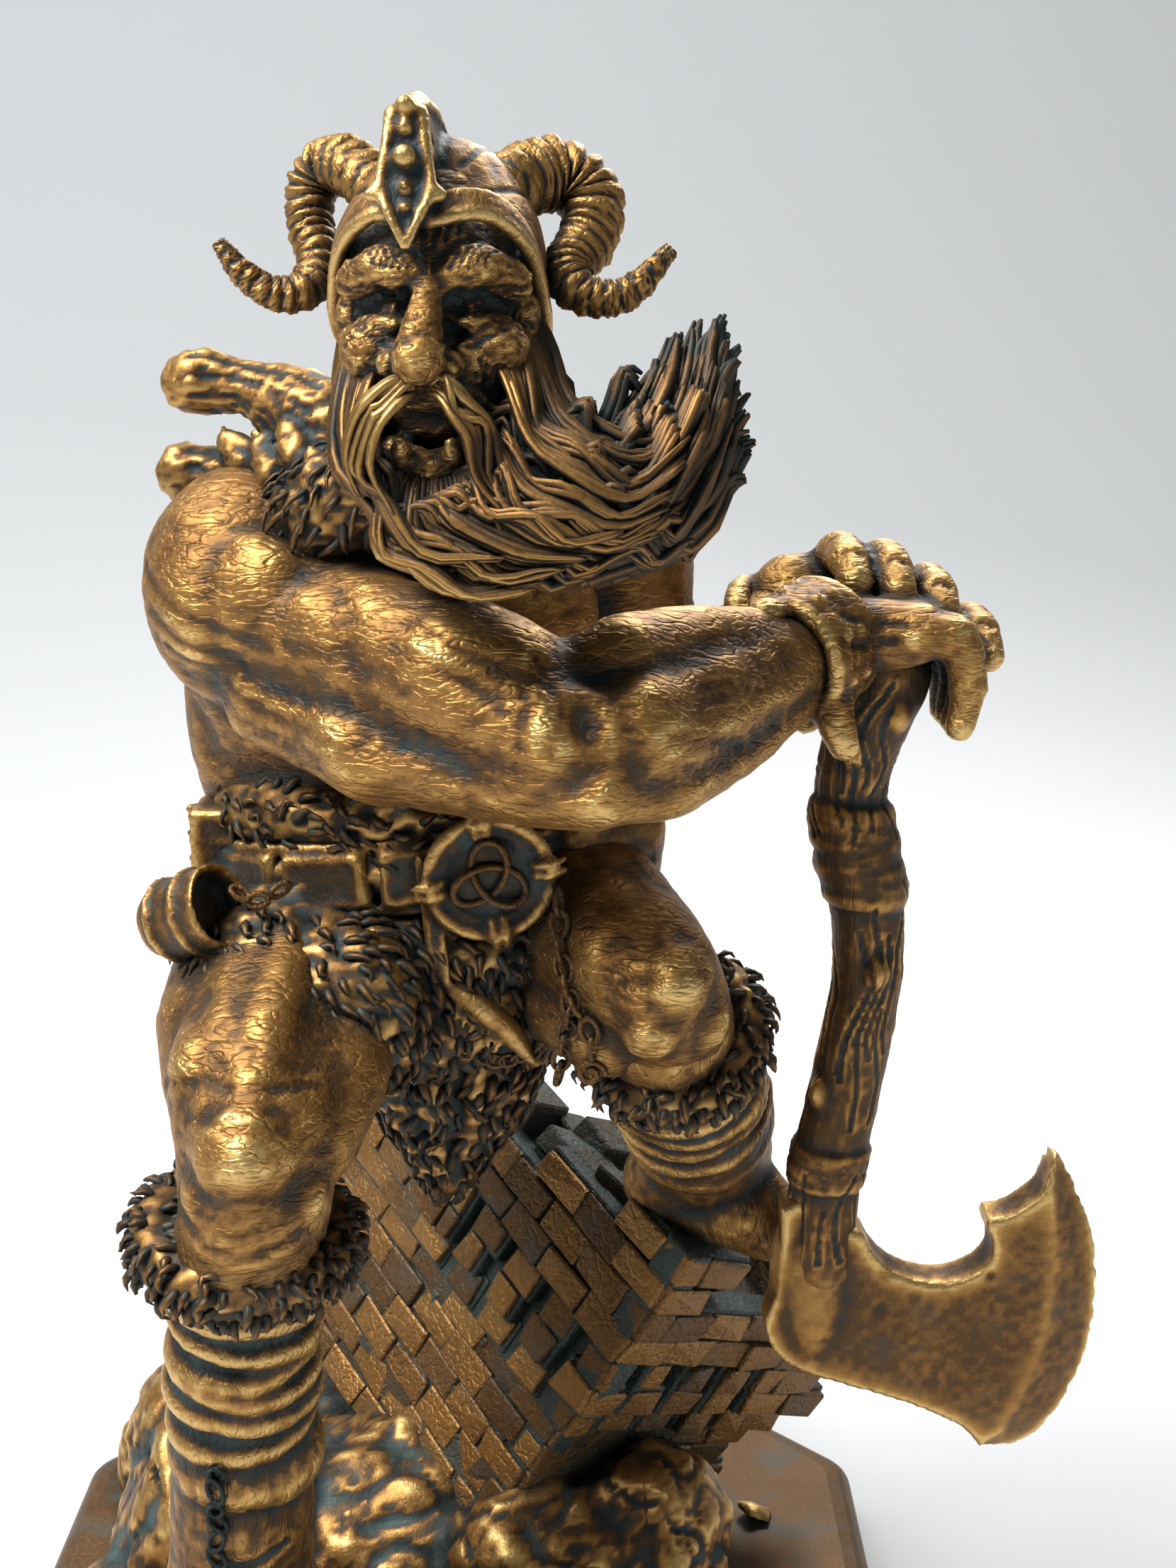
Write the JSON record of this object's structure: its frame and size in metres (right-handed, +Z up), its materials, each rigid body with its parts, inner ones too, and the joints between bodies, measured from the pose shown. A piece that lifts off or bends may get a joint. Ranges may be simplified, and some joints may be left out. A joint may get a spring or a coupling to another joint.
{
  "type": "figurine of a horned giant leaning on an axe",
  "caption": "Cold-cast bronze figurine: a bearded giant in a horned helmet leans on a broad axe, one boot on a toppled castle corner, on a moulded plinth.",
  "frame": {"origin": "centre of the plinth's underside", "axes": "+Z up, -Y the way the giant faces, +X towards his left hand and the axe"},
  "size_m": [0.1916, 0.152, 0.2797],
  "materials": {
    "giant_bronze": "cold-cast bronze rubbed back over a dark patina",
    "axe_bronze": "cold-cast bronze rubbed back over a dark patina",
    "stone_bronze": "cold-cast bronze with a green-grey patina"
  },
  "bodies": {
    "root": {"giant": "giant_bronze", "battle_axe": "axe_bronze", "ruin_plinth": "stone_bronze"}
  },
  "joints": []
}
